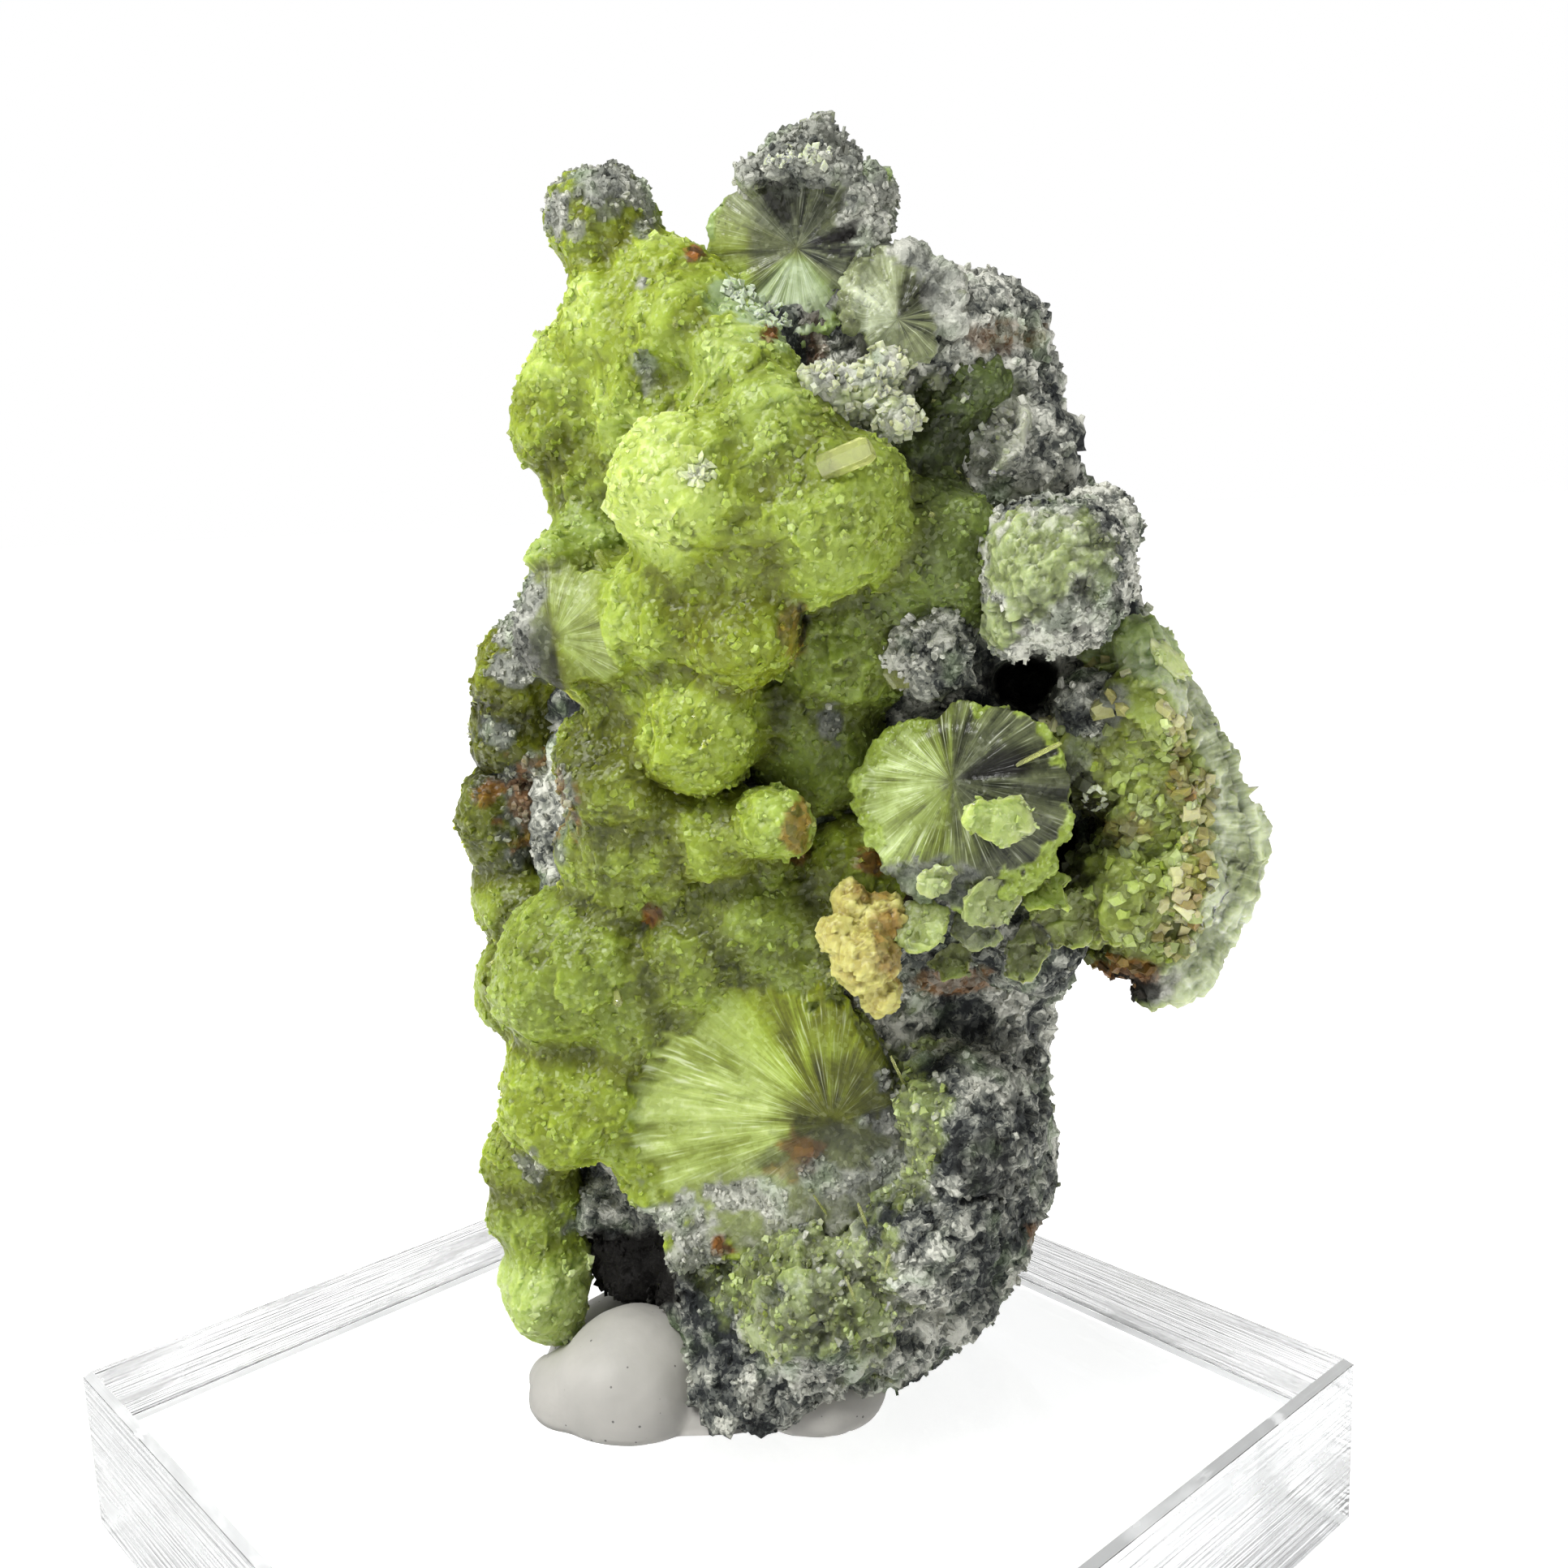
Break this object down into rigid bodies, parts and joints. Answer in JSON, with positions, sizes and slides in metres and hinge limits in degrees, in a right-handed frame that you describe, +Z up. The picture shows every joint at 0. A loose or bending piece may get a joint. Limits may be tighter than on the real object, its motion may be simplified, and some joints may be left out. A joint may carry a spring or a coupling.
{
  "type": "wavellite specimen on an acrylic base",
  "caption": "Wavellite mineral specimen: green balls of radiating crystals on dark rock, set upright with putty on a square clear acrylic base.",
  "frame": {"origin": "middle of the acrylic base's underside, which lies at z = 0", "axes": "+Z up along the specimen's height; X and Y along the sides of the square base, and the specimen's display side faces the corner at +X and -Y"},
  "size_m": [0.0318, 0.0318, 0.0478],
  "materials": {
    "clear_acrylic": "clear, polished faces and finely sawn sides",
    "grey_putty": "smooth, dull, slightly speckled",
    "dark_rock": "granular, dark grey with pale grains",
    "green_wavellite": "sugary, translucent yellow-green",
    "grey_green_wavellite": "silky radiating fibres, grey-green",
    "crusted_wavellite": "grey granular crust over green",
    "yellow_druse": "creamy yellow, knobby",
    "pale_crystal": "pale grey-white, glassy"
  },
  "bodies": {
    "root": {"acrylic_base": "clear_acrylic", "mounting_putty": "grey_putty", "matrix_rock": "dark_rock", "wavellite_crust": "green_wavellite", "wavellite_top_ball": "grey_green_wavellite", "wavellite_knob": "crusted_wavellite", "wavellite_lobe": "green_wavellite", "wavellite_middle_ball": "grey_green_wavellite", "yellow_druse": "yellow_druse", "pale_crystals": "pale_crystal"}
  },
  "joints": []
}
